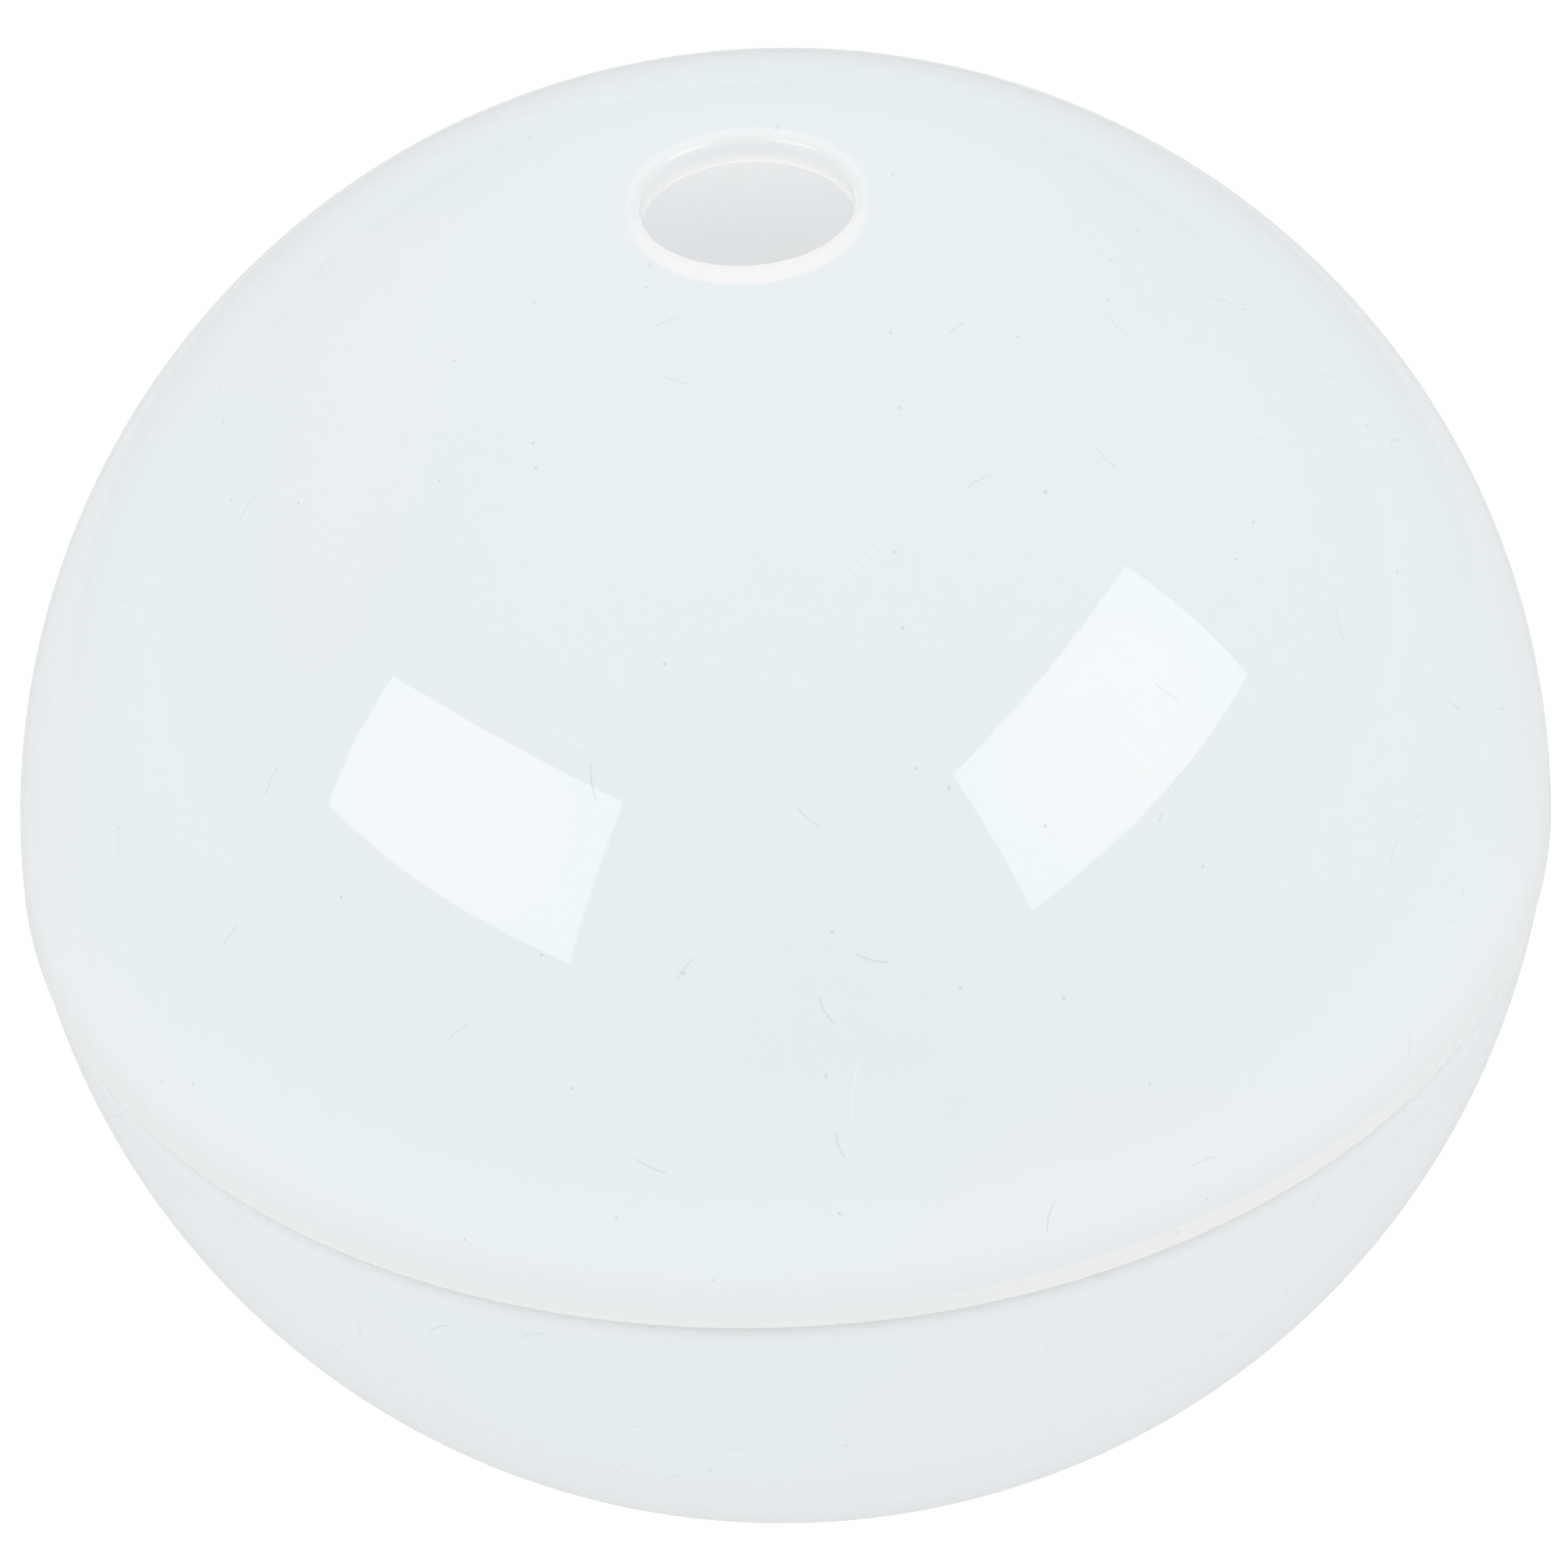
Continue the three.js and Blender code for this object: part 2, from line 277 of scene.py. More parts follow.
def combine(piece, blocks, operation):
    """Joins the blocks to a piece, or cuts them out of it, and rounds the new edges."""
    for number, other in enumerate(blocks):
        cut = piece.modifiers.new("cut_%d" % number, "BOOLEAN")
        cut.operation = operation
        cut.solver = "EXACT"
        cut.object = other
    bevel = piece.modifiers.new("bevel", "BEVEL")
    bevel.width = CUT_EDGE_ROUNDING
    bevel.segments = 2
    bevel.limit_method = "ANGLE"
    bevel.angle_limit = math.radians(50)
    result = bpy.data.meshes.new_from_object(piece.evaluated_get(bpy.context.evaluated_depsgraph_get()))
    piece.modifiers.clear()
    piece.data = result
    for other in blocks:
        bpy.data.objects.remove(other)
    tidy_up(result)


# ---- shells ----

def crown_shell():
    """Half a ball with a rounded rim edge, and a rounded lip round the hole at its crown."""
    edge_radius = BALL_RADIUS - EDGE_ROUNDING
    edge_centre = math.sqrt(edge_radius ** 2 - EDGE_ROUNDING ** 2)
    edge_angle = math.asin(EDGE_ROUNDING / edge_radius)
    lip_angle = math.acos(LIP_EDGE / (BALL_RADIUS - LIP_ROUNDING))
    lip_z = RIM_Z + (BALL_RADIUS - LIP_ROUNDING) * math.sin(lip_angle)
    burr = 0.2 * MM
    inner_angle = math.acos((CROWN_HOLE_RADIUS + burr) / INNER_RADIUS)
    inner_lip_z = RIM_Z + INNER_RADIUS * math.sin(inner_angle) + burr
    outline = [(INNER_RADIUS, RIM_Z)]
    outline += arc(edge_centre, RIM_Z + EDGE_ROUNDING, EDGE_ROUNDING, -math.pi / 2, edge_angle, 8)
    outline += arc(0, RIM_Z, BALL_RADIUS, edge_angle, lip_angle, 96)[1:-1]
    outline += arc(LIP_EDGE, lip_z, LIP_ROUNDING, lip_angle, math.pi, 12)
    outline += [(CROWN_HOLE_RADIUS, inner_lip_z)]
    outline += arc(0, RIM_Z, INNER_RADIUS, inner_angle, 0, 64)[:-1]
    shell = turned("crown_shell_moulding", outline, SHELL_STEPS)
    ripple(shell, 0.03 * MM, 20 * MM)
    return shell


def base_shell():
    """A bowl with a grooved spigot that stands up inside the crown shell, and a floor with a hole."""
    shoulder = RIM_Z - RIM_SEAM
    foot_angle = math.asin((base_low.z - BASE_SPHERE_Z) / BALL_RADIUS)
    shoulder_angle = math.asin((shoulder - BASE_SPHERE_Z) / BALL_RADIUS)
    fairing_angle = math.asin(-FAIRING_DROP / INNER_RADIUS)
    floor_top = nut_low.z - GAP
    floor_angle = math.asin((floor_top - BASE_SPHERE_Z) / INNER_RADIUS)
    spigot = INNER_RADIUS - GAP
    groove = seal_high.x - SEAL_WIDTH - GAP
    sleeve_hole = SLEEVE_RADIUS + GAP
    recess = socket_high.x + GAP
    recess_top = FLANGE_THICKNESS + GAP
    inside = rounded([
        (spigot, shoulder),
        (spigot, seal_low.z - GAP),
        (groove, seal_low.z - GAP),
        (groove, seal_high.z + GAP),
        (spigot, seal_high.z + GAP),
        (spigot, base_high.z),
        (spigot - SPIGOT_WALL, base_high.z),
        (spigot - SPIGOT_WALL, shoulder - 1 * MM),
    ], 0.2 * MM)
    floor_edges = rounded([
        (sleeve_hole, floor_top),
        (sleeve_hole, recess_top),
        (recess, recess_top),
        (recess, base_low.z),
    ], 0.2 * MM)
    bend_angle = math.asin((shoulder - SHOULDER_BEND - BASE_SPHERE_Z) / BALL_RADIUS)
    outline = arc(0, BASE_SPHERE_Z, BALL_RADIUS, foot_angle, bend_angle, 72)
    for radius, height in arc(0, BASE_SPHERE_Z, BALL_RADIUS, bend_angle, shoulder_angle, 8)[1:]:
        rise = 1 - (shoulder - height) / SHOULDER_BEND
        outline.append((radius - SHOULDER_INSET * rise ** 2, height))
    outline += inside
    outline += arc(0, BASE_SPHERE_Z, INNER_RADIUS, fairing_angle, floor_angle, 32)
    outline += floor_edges
    shell = turned("base_shell_moulding", outline, SHELL_STEPS)
    ripple(shell, 0.01 * MM, 20 * MM)
    return shell


# ---- the parts inside ----

def rim_seal_ring():
    """A ring with two rounded lips on its outer side."""
    inner = seal_high.x - SEAL_WIDTH
    outer = seal_high.x
    height = seal_high.z - seal_low.z
    lip = height / 4
    outline = [(inner, seal_low.z), (outer - lip, seal_low.z)]
    outline += arc(outer - lip, seal_low.z + lip, lip, -math.pi / 2, math.pi / 2, 8)
    outline += arc(outer - lip, seal_high.z - lip, lip, -math.pi / 2, math.pi / 2, 8)
    outline += [(inner, seal_high.z)]
    return turned("rim_seal", outline, RING_STEPS)


def socket_outline():
    """Foot flange, threaded sleeve, stop plate and boss, then back down the bore."""
    corners = [
        (BORE_RADIUS + SLEEVE_CHAMFER, socket_low.z),
        (socket_high.x, socket_low.z),
        (socket_high.x, FLANGE_THICKNESS),
        (SLEEVE_RADIUS, FLANGE_THICKNESS),
        (SLEEVE_RADIUS, PLATE_TOP - SLEEVE_CHAMFER),
        (SLEEVE_RADIUS - SLEEVE_CHAMFER, PLATE_TOP),
        (BOSS_RADIUS, PLATE_TOP),
        (BOSS_RADIUS, socket_high.z),
        (SCREW_HOLE_RADIUS, socket_high.z),
        (SCREW_HOLE_RADIUS, PLATE_UNDERSIDE),
        (BORE_RADIUS, PLATE_UNDERSIDE),
    ]
    for name in ("grip_ring_upper", "grip_ring_lower"):
        low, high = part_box(name)
        depth = high.x + GAP
        corners += [(BORE_RADIUS, high.z + GAP), (depth, high.z + GAP)]
        corners += [(depth, low.z - GAP), (BORE_RADIUS, low.z - GAP)]
    corners.append((BORE_RADIUS, socket_low.z + SLEEVE_CHAMFER))
    return rounded(corners, 0.25 * MM, 3)


def with_rings(outline, radius, bottom, top, spacing):
    """The same outline with extra points up one straight wall, so that a thread can be cut."""
    points = []
    for here, after in zip(outline, outline[1:] + outline[:1]):
        points.append(here)
        on_wall = abs(here[0] - radius) < 1e-6 and abs(after[0] - radius) < 1e-6
        if on_wall and here[1] < bottom < top < after[1]:
            count = round((top - bottom) / spacing)
            points += [(radius, bottom + (top - bottom) * i / count) for i in range(count + 1)]
    return points


def post_socket():
    """The sleeve that goes over the post, with a thread outside and ribs on its stop plate."""
    thread_bottom = nut_low.z - 2 * GAP
    thread_top = nut_high.z + THREAD_ABOVE_NUT
    spacing = SLEEVE_THREAD_PITCH / 8
    outline = with_rings(socket_outline(), SLEEVE_RADIUS, thread_bottom, thread_top, spacing)
    socket = turned("socket_moulding", outline, RING_STEPS)
    cut_thread(socket, SLEEVE_RADIUS, SLEEVE_THREAD_PITCH, SLEEVE_THREAD_DEPTH, thread_bottom, thread_top)
    start = BOSS_RADIUS - RIB_EMBED
    end = SLEEVE_RADIUS - RIB_SETBACK
    rib_height = socket_high.z - GAP - PLATE_TOP + RIB_EMBED
    size = (end - start, RIB_THICKNESS, rib_height)
    centre = ((start + end) / 2, 0, PLATE_TOP - RIB_EMBED + rib_height / 2)
    ribs = [block(size, centre, 2 * math.pi * i / RIB_COUNT) for i in range(RIB_COUNT)]
    combine(socket, ribs, "UNION")
    return socket


def socket_nut():
    """A ring nut with notches for a pin spanner round its top edge."""
    inner = SLEEVE_RADIUS + GAP
    outline = rounded_box(inner, nut_high.x, nut_low.z, nut_high.z, 0.4 * MM)
    nut = turned("ring_nut", outline, NUT_STEPS)
    size = (2 * NUT_NOTCH_DEPTH, NUT_NOTCH_WIDTH, nut_high.z - nut_low.z)
    centre = (nut_high.x, 0, nut_low.z + NUT_NOTCH_DEPTH + size[2] / 2)
    notches = [block(size, centre, 2 * math.pi * (i + 0.5) / NUT_NOTCHES) for i in range(NUT_NOTCHES)]
    combine(nut, notches, "DIFFERENCE")
    return nut


def grip_ring(node):
    """Square back in the groove, rounded nose towards the post."""
    low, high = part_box(node)
    middle = (low.z + high.z) / 2
    half = (high.z - low.z) / 2
    nose = BORE_RADIUS - GRIP_NOSE
    outline = rounded_box(BORE_RADIUS + half * 0.6, high.x, low.z, high.z, 0.15 * MM)
    outline = [point for point in outline if point[0] > BORE_RADIUS + half * 0.8]
    outline += arc(nose + half, middle, half * 0.98, math.pi / 2, 3 * math.pi / 2, 12)
    return turned(node + "_moulding", outline, RING_STEPS)


def washer(node, fillet):
    low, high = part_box(node)
    outline = rounded_box(SCREW_HOLE_RADIUS, high.x, low.z, high.z, fillet)
    return turned(node + "_disc", outline, SMALL_STEPS)


def fixing_screw():
    """Pan-head screw with a helical thread, and a cross recess whose two cuts differ a little in depth."""
    head_bottom = screw_high.z - HEAD_HEIGHT
    tip_top = screw_low.z + SCREW_TIP
    thread_top = head_bottom - SCREW_PLAIN_SHANK
    count = 48
    axis = 0.01 * MM
    outline = [(axis, screw_low.z), (SCREW_RADIUS - SCREW_THREAD_DEPTH / 2, tip_top)]
    outline += [(SCREW_RADIUS, tip_top + (thread_top - tip_top) * i / count) for i in range(count + 1)]
    outline += [(SCREW_RADIUS, head_bottom - SCREW_FILLET), (SCREW_RADIUS + SCREW_FILLET, head_bottom)]
    outline += arc(screw_high.x - HEAD_EDGE, head_bottom + HEAD_EDGE, HEAD_EDGE, -math.pi / 2, 0, 5)
    dome = HEAD_DOME
    outline += arc(screw_high.x - dome, screw_high.z - dome, dome, 0.1, math.pi / 2, 12)
    outline += [(axis, screw_high.z)]
    screw = turned("pan_head_screw", outline, SMALL_STEPS)
    cut_thread(screw, SCREW_RADIUS, SCREW_PITCH, SCREW_THREAD_DEPTH, tip_top, thread_top)
    centre = (0, 0, screw_high.z)
    arms = [
        block((RECESS_SPAN, RECESS_WIDTH, 2 * RECESS_DEPTH), centre, RECESS_TURN),
        block((RECESS_WIDTH, RECESS_SPAN, 2.1 * RECESS_DEPTH), centre, RECESS_TURN),
    ]
    combine(screw, arms, "DIFFERENCE")
    return screw


# ---- materials ----

class Finish:
    """One procedural material, with the few node recipes that the materials share."""

    def __init__(self, name, color, roughness, **values):
        self.material = bpy.data.materials.new(name)
        self.material.use_nodes = True
        self.nodes = self.material.node_tree.nodes
        self.links = self.material.node_tree.links
        self.shader = self.nodes["Principled BSDF"]
        coordinates = self.nodes.new("ShaderNodeTexCoord")
        self.place = coordinates.outputs["Object"]
        self.normal = coordinates.outputs["Normal"]
        self.color = (*color, 1)
        self.shader.inputs["Roughness"].default_value = roughness
        for socket, value in values.items():
            self.shader.inputs[socket.replace("_", " ")].default_value = value

    def connect(self, value, socket):
        if isinstance(value, bpy.types.NodeSocket):
            self.links.new(value, socket)
        else:
            socket.default_value = value

    def math(self, operation, *values):
        node = self.nodes.new("ShaderNodeMath")
        node.operation = operation
        for value, socket in zip(values, node.inputs):
            self.connect(value, socket)
        return node.outputs[0]

    def vector(self, operation, *values):
        node = self.nodes.new("ShaderNodeVectorMath")
        node.operation = operation
        for value, socket in zip(values, node.inputs):
            self.connect(value, socket)
        return node.outputs["Value" if operation in ("DOT_PRODUCT", "LENGTH") else "Vector"]

    def part(self, axis):
        """One coordinate of the place on the piece."""
        split = self.nodes.new("ShaderNodeSeparateXYZ")
        self.links.new(self.place, split.inputs[0])
        return split.outputs[axis]

    def step(self, value, start, end):
        """0 at start and 1 at end, smooth between them, whichever of the two is larger."""
        node = self.nodes.new("ShaderNodeMapRange")
        node.interpolation_type = "SMOOTHSTEP"
        self.connect(value, node.inputs["Value"])
        node.inputs["From Min"].default_value = start
        node.inputs["From Max"].default_value = end
        return node.outputs["Result"]

    def noise(self, size, detail, place=None):
        """Cloudy noise around 0.5, in spots of about this size."""
        node = self.nodes.new("ShaderNodeTexNoise")
        self.links.new(place or self.place, node.inputs["Vector"])
        node.inputs["Scale"].default_value = 1 / size
        node.inputs["Detail"].default_value = detail
        return node.outputs["Fac"]

    def tint(self, factor, color, weight=1):
        """Lays a colour over what is there, by a factor from 0 to 1 and at most by the weight."""
        node = self.nodes.new("ShaderNodeMix")
        node.data_type = "RGBA"
        self.connect(self.math("MULTIPLY", factor, weight), node.inputs["Factor"])
        self.connect(self.color, node.inputs[6])
        node.inputs[7].default_value = (*color, 1)
        self.color = node.outputs[2]

    def marks(self, spacing, length, width, share, bend=0):
        """A 0 to 1 mask of fine marks lying on the surface, each with its own place and direction."""
        cells = self.nodes.new("ShaderNodeTexVoronoi")
        self.links.new(self.place, cells.inputs["Vector"])
        cells.inputs["Scale"].default_value = 1 / spacing
        local = self.vector("SUBTRACT", self.place, cells.outputs["Position"])
        random = self.vector("SUBTRACT", cells.outputs["Color"], (0.5, 0.5, 0.5))
        along = self.vector("NORMALIZE", self.vector("CROSS_PRODUCT", self.normal, random))
        across = self.vector("CROSS_PRODUCT", self.normal, along)
        reach = self.vector("DOT_PRODUCT", local, along)
        side = self.vector("DOT_PRODUCT", local, across)
        curve = self.math("MULTIPLY", self.math("MULTIPLY", reach, reach), bend)
        side = self.math("SUBTRACT", side, curve)
        past = self.math("SUBTRACT", self.math("ABSOLUTE", reach), length / 2)
        past = self.math("MAXIMUM", past, 0)
        squares = self.math("ADD", self.math("POWER", past, 2), self.math("POWER", side, 2))
        distance = self.math("SQRT", squares)
        mask = self.step(distance, width * 0.65, width * 0.35)
        lot = self.vector("DOT_PRODUCT", cells.outputs["Color"], (1, 0, 0))
        chosen = self.math("LESS_THAN", lot, share)
        return self.math("MULTIPLY", mask, chosen)

    def bump(self, height, distance):
        node = self.nodes.new("ShaderNodeBump")
        node.inputs["Distance"].default_value = distance
        self.connect(height, node.inputs["Height"])
        self.links.new(node.outputs["Normal"], self.shader.inputs["Normal"])

    def rough(self, factor, low, high):
        """Roughness that goes from low to high with a factor."""
        span = self.math("MULTIPLY_ADD", factor, high - low, low)
        self.links.new(span, self.shader.inputs["Roughness"])

    def done(self):
        self.connect(self.color, self.shader.inputs["Base Color"])
        return self.material


def opal_plastic(name):
    """Glossy milky plastic with faint clouds of colour."""
    opal = Finish(name, OPAL_COLOR, 0.07, IOR=1.43, Subsurface_Weight=1, Subsurface_Scale=OPAL_DEPTH)
    opal.shader.inputs["Subsurface Radius"].default_value = (1, 1, 1)
    elsewhere = opal.vector("ADD", opal.place, (0.3, 0.1, 0.2))
    opal.tint(opal.step(opal.noise(38 * MM, 1), 0.45, 0.75), OPAL_LAVENDER)
    opal.tint(opal.step(opal.noise(55 * MM, 1, elsewhere), 0.55, 0.8), OPAL_CREAM)
    opal.tint(opal.noise(0.5 * MM, 2), OPAL_SHADE, weight=0.1)
    return opal


def opal_surface(opal, centre_z):
    """What has settled on the outside: lint, specks, scuffs and smudges."""
    from_centre = opal.vector("LENGTH", opal.vector("SUBTRACT", opal.place, (0, 0, centre_z)))
    outside = opal.math("GREATER_THAN", from_centre, BALL_RADIUS - 0.6 * MM)
    lint = opal.marks(spacing=11 * MM, length=1.8 * MM, width=0.09 * MM, share=0.5, bend=150)
    specks = opal.marks(spacing=7.3 * MM, length=0.02 * MM, width=0.2 * MM, share=0.33)
    scuffs = opal.marks(spacing=21 * MM, length=3.5 * MM, width=0.14 * MM, share=0.45, bend=20)
    faint_lint = opal.math("MULTIPLY", lint, 0.2)
    faint_specks = opal.math("MULTIPLY", specks, 0.27)
    dust = opal.math("MAXIMUM", faint_lint, faint_specks)
    opal.tint(opal.math("MULTIPLY", dust, outside), LINT_GREY)
    opal.tint(scuffs, OPAL_SCUFF_AND_PAINTED_LIGHT, weight=0.35)
    smudges = opal.step(opal.noise(16 * MM, 2), 0.5, 0.8)
    opal.rough(opal.math("MAXIMUM", smudges, scuffs), 0.02, 0.06)
    opal.bump(opal.noise(7 * MM, 0), 0.008 * MM)


def lip_glow(opal):
    """Painted light round the crown hole, most of all a painted bright crescent on one side."""
    on_top = opal.math("GREATER_THAN", opal.part("Z"), RIM_Z + 40 * MM)
    from_axis = opal.vector("LENGTH", opal.vector("MULTIPLY", opal.place, (1, 1, 0)))
    around = opal.step(from_axis, LIP_EDGE + 0.2 * MM, LIP_EDGE - 0.3 * MM)
    # painted light: a ring over the lip and the hole's wall
    opal.tint(opal.math("MULTIPLY", around, on_top), OPAL_GLOW, weight=0.7)
    shifted = opal.vector("MULTIPLY_ADD", opal.place, (1, 1, 0), (0, CRESCENT_SHIFT, 0))
    crescent = opal.step(opal.vector("LENGTH", shifted), LIP_EDGE + 0.1 * MM, LIP_EDGE - 0.3 * MM)
    tapered = opal.math("MULTIPLY", crescent, opal.step(opal.part("Y"), -0.5 * MM, -4.5 * MM))
    # painted highlight: a crescent on the -Y side of the crown hole, tapering towards its sides
    opal.tint(opal.math("MULTIPLY", tapered, on_top), OPAL_PAINTED_WARM_LIGHT, weight=0.5)


def crown_rim_glow(opal):
    """Painted light towards the rim: a wide zone, a band and the edge, with one painted warm highlight
    stretch.
    """
    height = opal.part("Z")
    wide = opal.step(height, RIM_Z + 14 * MM, RIM_Z)
    band = opal.step(height, RIM_Z + 1.9 * MM, RIM_Z + 1.5 * MM)
    edge = opal.step(height, RIM_Z + 0.5 * MM, RIM_Z)
    wide_share = 0.42
    band_share = 0.25
    both = opal.math("MULTIPLY_ADD", band, band_share, opal.math("MULTIPLY", wide, wide_share))
    # painted light: a wide zone and a band above the rim
    opal.tint(both, OPAL_SCUFF_AND_PAINTED_LIGHT)
    # painted light along the crown's rim edge
    opal.tint(edge, OPAL_PAINTED_EDGE_LIGHT, weight=0.8)
    # painted highlight: a warm stretch of the band towards the front right
    reach = opal.vector("DOT_PRODUCT", opal.place, (0.5, -0.87, 0))
    stretch = opal.math("MULTIPLY", band, opal.step(reach, 46 * MM, 50 * MM))
    opal.tint(stretch, OPAL_PAINTED_WARM_LIGHT, weight=0.45)


def base_rim_glow(opal):
    """Painted light: the base shell is a little lighter under the seam, and lightest along its edge."""
    height = opal.part("Z")
    # painted light under the seam
    opal.tint(opal.step(height, RIM_Z - 3 * MM, RIM_Z), OPAL_SCUFF_AND_PAINTED_LIGHT, weight=0.4)
    # painted light along the base shell's edge
    opal.tint(opal.step(height, RIM_Z - 0.9 * MM, RIM_Z - 0.1 * MM), OPAL_PAINTED_EDGE_LIGHT)


def crown_opal():
    opal = opal_plastic("opal_crown")
    lip_glow(opal)
    crown_rim_glow(opal)
    opal_surface(opal, RIM_Z)
    return opal.done()


def base_opal():
    opal = opal_plastic("opal_base")
    base_rim_glow(opal)
    opal_surface(opal, BASE_SPHERE_Z)
    return opal.done()


def socket_plastic():
    """Pale grey moulded plastic with a fine spark-eroded grain and a few rubbed streaks."""
    plastic = Finish("socket_plastic", (0.70, 0.72, 0.72), 0.5, IOR=1.49, Subsurface_Weight=0.25)
    plastic.shader.inputs["Subsurface Radius"].default_value = (1, 1, 1)
    plastic.shader.inputs["Subsurface Scale"].default_value = 0.8 * MM
    plastic.tint(plastic.step(plastic.noise(12 * MM, 3), 0.4, 0.8), (0.64, 0.66, 0.665))
    plastic.tint(plastic.noise(0.35 * MM, 3), (0.55, 0.57, 0.58), weight=0.25)
    streaks = plastic.marks(spacing=6 * MM, length=4 * MM, width=0.12 * MM, share=0.5, bend=15)
    plastic.tint(streaks, (0.85, 0.86, 0.86), weight=0.35)
    plastic.rough(plastic.noise(5 * MM, 4), 0.38, 0.62)
    plastic.bump(plastic.noise(0.25 * MM, 4), 0.02 * MM)
    return plastic.done()


def grip_rubber():
    """Black moulded rubber with a fine tooth, grey bloom and dust."""
    rubber = Finish("grip_rubber", (0.018, 0.019, 0.021), 0.7, IOR=1.5)
    rubber.tint(rubber.step(rubber.noise(3 * MM, 4), 0.45, 0.8), (0.05, 0.052, 0.055))
    specks = rubber.marks(spacing=1.6 * MM, length=0.02 * MM, width=0.12 * MM, share=0.5)
    rubber.tint(specks, (0.4, 0.4, 0.4), weight=0.6)
    rubber.rough(rubber.noise(2 * MM, 3), 0.55, 0.85)
    rubber.bump(rubber.noise(0.18 * MM, 4), 0.02 * MM)
    return rubber.done()


def seal_silicone():
    """Cloudy white silicone, satin, with a dusty film."""
    seal = Finish("seal_silicone", (0.80, 0.83, 0.83), 0.4, IOR=1.41, Subsurface_Weight=1)
    seal.shader.inputs["Subsurface Radius"].default_value = (1, 1, 1)
    seal.shader.inputs["Subsurface Scale"].default_value = 1 * MM
    seal.tint(seal.step(seal.noise(4 * MM, 3), 0.4, 0.8), (0.72, 0.76, 0.77))
    specks = seal.marks(spacing=2.5 * MM, length=0.02 * MM, width=0.12 * MM, share=0.4)
    seal.tint(specks, LINT_GREY, weight=0.5)
    seal.rough(seal.noise(2 * MM, 3), 0.3, 0.5)
    seal.bump(seal.noise(0.4 * MM, 3), 0.01 * MM)
    return seal.done()


def screw_steel():
    """Stainless steel with turning marks round the axis and faint handling scratches."""
    steel = Finish("screw_steel", (0.62, 0.63, 0.64), 0.28, Metallic=1)
    radius = steel.vector("LENGTH", steel.vector("MULTIPLY", steel.place, (1, 1, 0)))
    rings = steel.nodes.new("ShaderNodeCombineXYZ")
    steel.links.new(radius, rings.inputs["X"])
    steel.links.new(steel.part("Z"), rings.inputs["Y"])
    turning = steel.noise(0.12 * MM, 3, rings.outputs[0])
    scratches = steel.marks(spacing=1.8 * MM, length=1.2 * MM, width=0.04 * MM, share=0.6, bend=60)
    steel.tint(steel.step(steel.noise(2.5 * MM, 4), 0.45, 0.8), (0.50, 0.51, 0.53))
    steel.tint(scratches, (0.8, 0.8, 0.8), weight=0.4)
    steel.rough(steel.math("MAXIMUM", turning, scratches), 0.2, 0.42)
    steel.bump(turning, 0.008 * MM)
    return steel.done()


# ---- stage, light and camera ----

def stage_sheet(name, corners):
    """A flat piece with four corners that isn't part of the object."""
    mesh = bpy.data.meshes.new(name)
    mesh.from_pydata(corners, [], [(0, 1, 2, 3)])
    piece = bpy.data.objects.new(name, mesh)
    bpy.context.scene.collection.objects.link(piece)
    return piece


def floor_white():
    """White, with a sheet of paper in the middle. Most of its light is its own, so shadows stay faint."""
    white = Finish("floor_white", (1, 1, 1), 1, Specular_IOR_Level=0)
    path = white.nodes.new("ShaderNodeLightPath").outputs
    away = white.step(white.vector("LENGTH", white.place), SHEET_RADIUS, SHEET_RADIUS * 1.15)
    reflected = white.math("MULTIPLY_ADD", away, SHEET_AWAY - SHEET_NEAR, SHEET_NEAR - FLOOR_DIFFUSE)
    level = white.math("MULTIPLY_ADD", path["Is Glossy Ray"], reflected, FLOOR_DIFFUSE)
    level = white.math("MULTIPLY_ADD", path["Is Camera Ray"], FLOOR_TO_CAMERA - FLOOR_DIFFUSE, level)
    shaded = white.math("MULTIPLY", level, FLOOR_SHADOW_SHARE)
    grey = white.nodes.new("ShaderNodeCombineColor")
    for socket in grey.inputs:
        white.links.new(shaded, socket)
    white.links.new(grey.outputs[0], white.shader.inputs["Base Color"])
    white.shader.inputs["Emission Color"].default_value = (1, 1, 1, 1)
    glow = white.math("MULTIPLY", level, 1 - FLOOR_SHADOW_SHARE)
    white.links.new(glow, white.shader.inputs["Emission Strength"])
    white.material.cycles.emission_sampling = "NONE"
    return white.material


def floor():
    half = FLOOR_SIZE / 2
    sheet = stage_sheet("floor", [(-half, -half, 0), (half, -half, 0), (half, half, 0), (-half, half, 0)])
    sheet.location.z = cad_low.z - 0.1 * MM
    sheet.data.materials.append(floor_white())


def softbox_glow(name):
    """Brightest in the middle of the rectangle, a little cooler and dimmer towards its ends."""
    glow = Finish(name, SOFTBOX_COLOR, 1)
    glow.nodes.remove(glow.shader)
    uv = glow.nodes["Texture Coordinate"].outputs["UV"]
    from_middle = glow.vector("LENGTH", glow.vector("MULTIPLY", uv, (1, 0.6, 0)))
    glow.tint(glow.step(from_middle, 0.5, 1.1), SOFTBOX_END_COLOR)
    fade = glow.math("MULTIPLY_ADD", glow.step(from_middle, 0.4, 1.1), -SOFTBOX_FADE, 1)
    emission = glow.nodes.new("ShaderNodeEmission")
    glow.links.new(glow.color, emission.inputs["Color"])
    glow.links.new(glow.math("MULTIPLY", fade, SOFTBOX_STRENGTH), emission.inputs["Strength"])
    glow.links.new(emission.outputs[0], glow.nodes["Material Output"].inputs["Surface"])
    glow.material.cycles.emission_sampling = "NONE"
    return glow.material


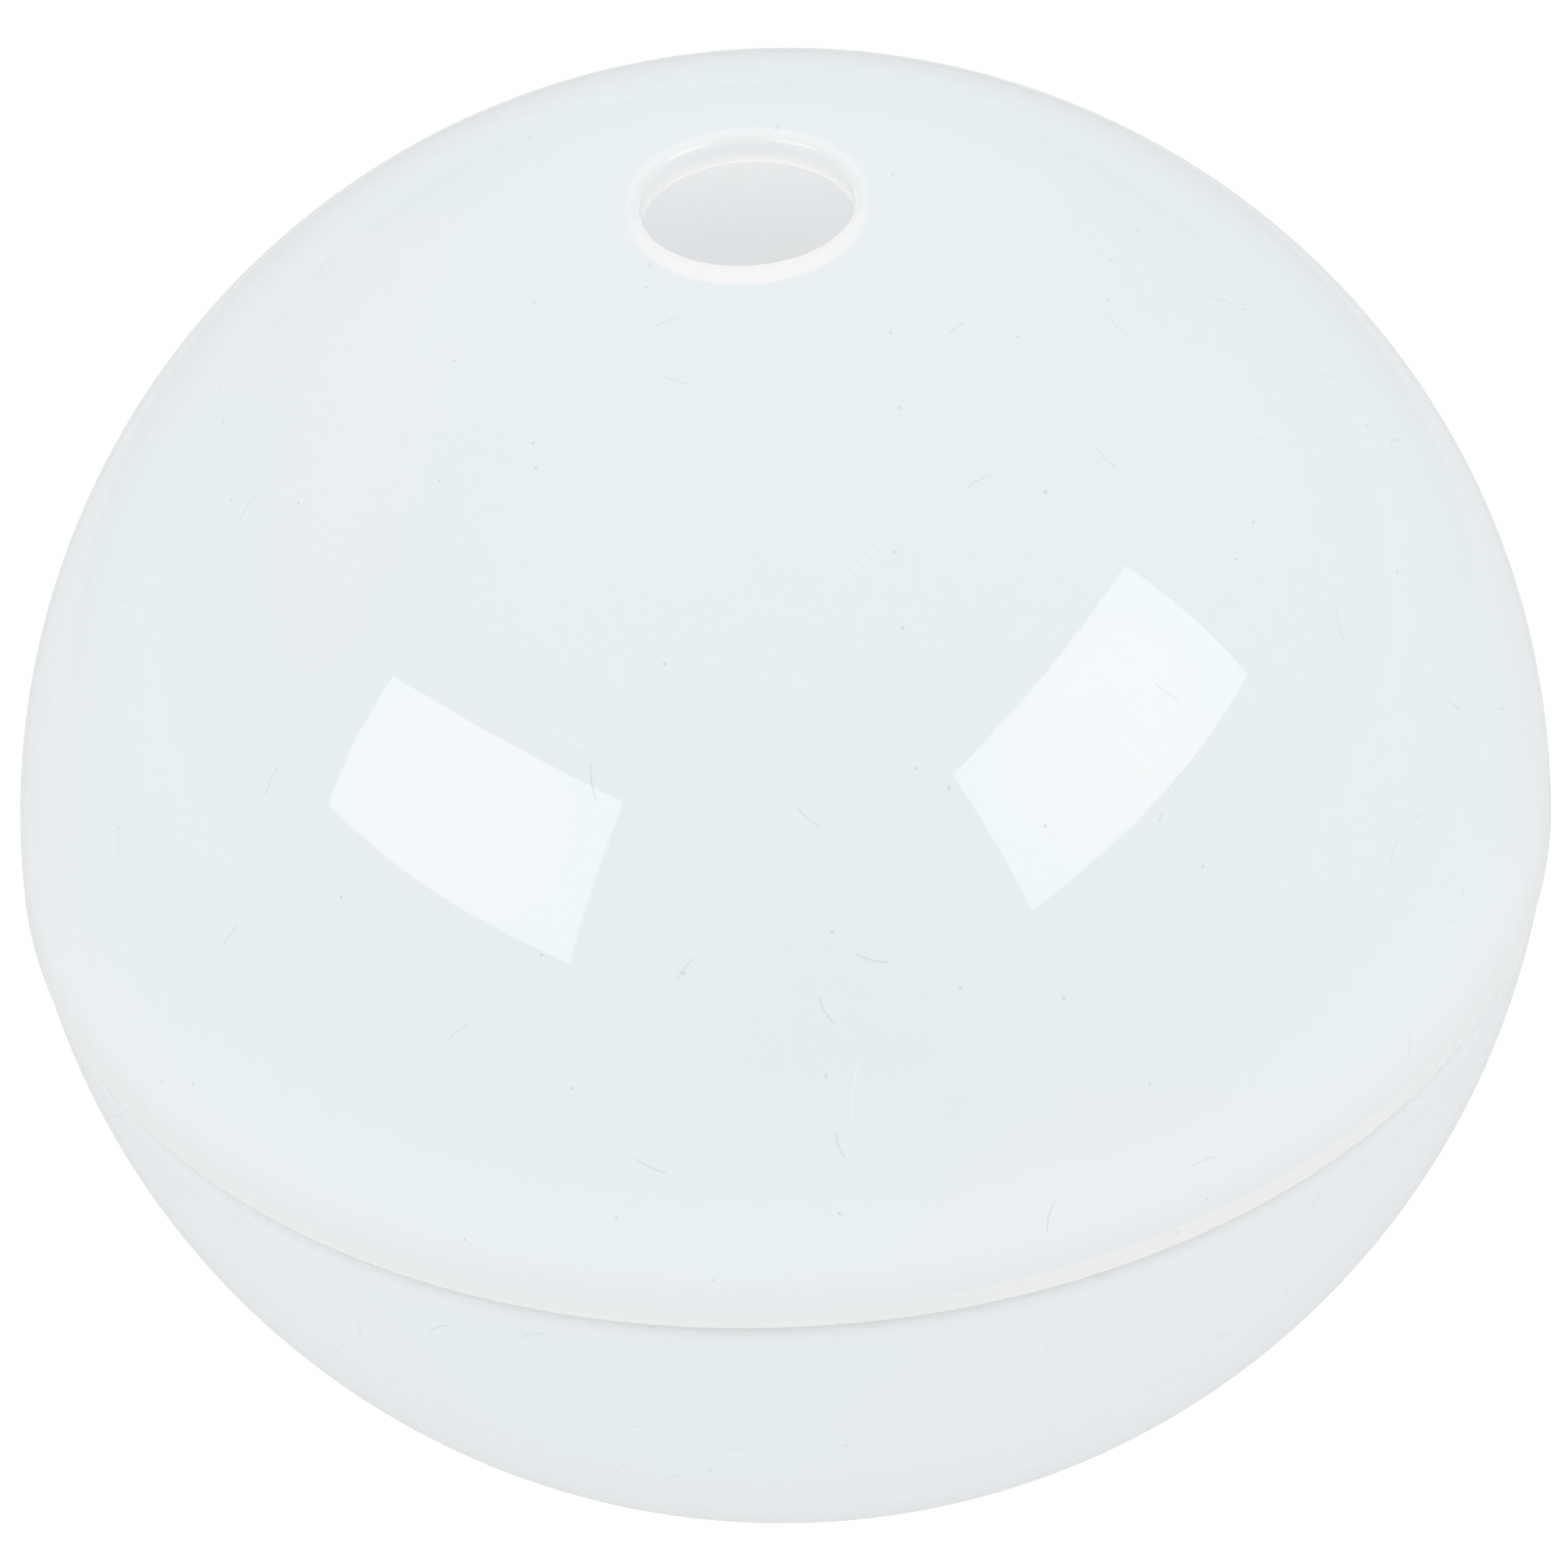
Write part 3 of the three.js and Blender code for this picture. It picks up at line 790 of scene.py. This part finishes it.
def softbox(name, azimuth, elevation, width, height, roll, swivel, tilt):
    """A glowing rectangle round the ball, seen only as a reflection. Angles are in degrees."""
    azimuth, elevation, roll, swivel, tilt = (
        math.radians(angle) for angle in (azimuth, elevation, roll, swivel, tilt)
    )
    towards = Vector((
        math.sin(azimuth) * math.cos(elevation),
        -math.cos(azimuth) * math.cos(elevation),
        math.sin(elevation),
    ))
    level = Vector((0, 0, 1)).cross(towards).normalized()
    upright = towards.cross(level)
    level = level * math.cos(swivel) + towards * math.sin(swivel)
    upright = upright * math.cos(tilt) + towards * math.sin(tilt)
    side = (level * math.cos(roll) + upright * math.sin(roll)) * width / 2
    rise = (upright * math.cos(roll) - level * math.sin(roll)) * height / 2
    centre = Vector((0, 0, RIM_Z)) + towards * SOFTBOX_DISTANCE
    corners = [centre - side - rise, centre + side - rise, centre + side + rise, centre - side + rise]
    box = stage_sheet(name, corners)
    places = box.data.uv_layers.new(name="places")
    for loop, place in zip(places.data, [(-1, -1), (1, -1), (1, 1), (-1, 1)]):
        loop.uv = place
    box.data.materials.append(softbox_glow(name))
    box.visible_camera = False
    box.visible_diffuse = False
    box.visible_shadow = False


def inner_lamp():
    """A small lamp in the hollow, for the daylight that the milky walls let through."""
    data = bpy.data.lights.new("inner_lamp", "POINT")
    data.energy = INNER_LAMP_POWER
    data.color = INNER_LAMP_COLOR
    data.shadow_soft_size = INNER_LAMP_SIZE
    lamp = bpy.data.objects.new("inner_lamp", data)
    lamp.location = INNER_LAMP_PLACE
    lamp.visible_camera = False
    lamp.visible_glossy = False
    bpy.context.scene.collection.objects.link(lamp)


def sky():
    """White to the camera, even daylight for the plastic, and a dimmer room in its reflections."""
    world = bpy.data.worlds.new("studio")
    bpy.context.scene.world = world
    world.use_nodes = True
    tree = world.node_tree
    path = tree.nodes.new("ShaderNodeLightPath").outputs
    strength = tree.nodes.new("ShaderNodeValue").outputs[0]
    strength.default_value = SKY_DIFFUSE
    for ray, seen in (("Is Glossy Ray", SKY_REFLECTED), ("Is Camera Ray", SKY_TO_CAMERA)):
        change = tree.nodes.new("ShaderNodeMath")
        change.operation = "MULTIPLY_ADD"
        tree.links.new(path[ray], change.inputs[0])
        change.inputs[1].default_value = seen - SKY_DIFFUSE
        tree.links.new(strength, change.inputs[2])
        strength = change.outputs[0]
    background = tree.nodes["Background"]
    background.inputs["Color"].default_value = (1, 1, 1, 1)
    tree.links.new(strength, background.inputs["Strength"])
    bpy.context.scene.view_settings.view_transform = "Standard"


def studio():
    softbox("softbox_left", azimuth=-58, elevation=28.3, width=0.651, height=0.308,
            roll=3.5, swivel=-23.9, tilt=6.3)
    softbox("softbox_right", azimuth=59.6, elevation=33, width=0.655, height=0.345,
            roll=3.6, swivel=3.1, tilt=20.3)
    inner_lamp()
    sky()
    floor()


def camera():
    elevation = math.radians(39.3)
    roll = math.radians(3.63)
    distance = 11.5 * BALL_RADIUS
    aim_above_rim = 1.9 * MM
    data = bpy.data.cameras.new("camera")
    data.lens = 201.4
    data.sensor_width = 36
    data.clip_start = 0.01
    data.clip_end = 100
    cam = bpy.data.objects.new("camera", data)
    bpy.context.scene.collection.objects.link(cam)
    back = Vector((0, -math.cos(elevation), math.sin(elevation)))
    up = Vector((0, math.sin(elevation), math.cos(elevation)))
    centre = Vector((0, 0, RIM_Z))
    place = centre + back * distance
    aim = centre + up * aim_above_rim
    facing = (aim - place).to_track_quat("-Z", "Y").to_matrix().to_4x4()
    cam.matrix_world = Matrix.Translation(place) @ facing @ Matrix.Rotation(-roll, 4, "Z")
    bpy.context.scene.camera = cam


# ---- the model ----

def show(piece, node, material):
    """The piece stands for a CAD node and moves with that node's body."""
    body = "crown" if node == "crown_shell" else "base"
    piece.data.materials.clear()
    piece.data.materials.append(material)
    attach(piece, body)
    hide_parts(node)


camera()
studio()

plastic = socket_plastic()
rubber = grip_rubber()
steel = screw_steel()
show(crown_shell(), "crown_shell", crown_opal())
show(base_shell(), "base_shell", base_opal())
show(rim_seal_ring(), "rim_seal_ring", seal_silicone())
show(post_socket(), "post_socket", plastic)
show(socket_nut(), "socket_nut", plastic)
for ring_node in ("grip_ring_lower", "grip_ring_upper"):
    show(grip_ring(ring_node), ring_node, rubber)
show(washer("sealing_washer", 0.3 * MM), "sealing_washer", rubber)
show(washer("steel_washer", 0.12 * MM), "steel_washer", steel)
show(fixing_screw(), "fixing_screw", steel)
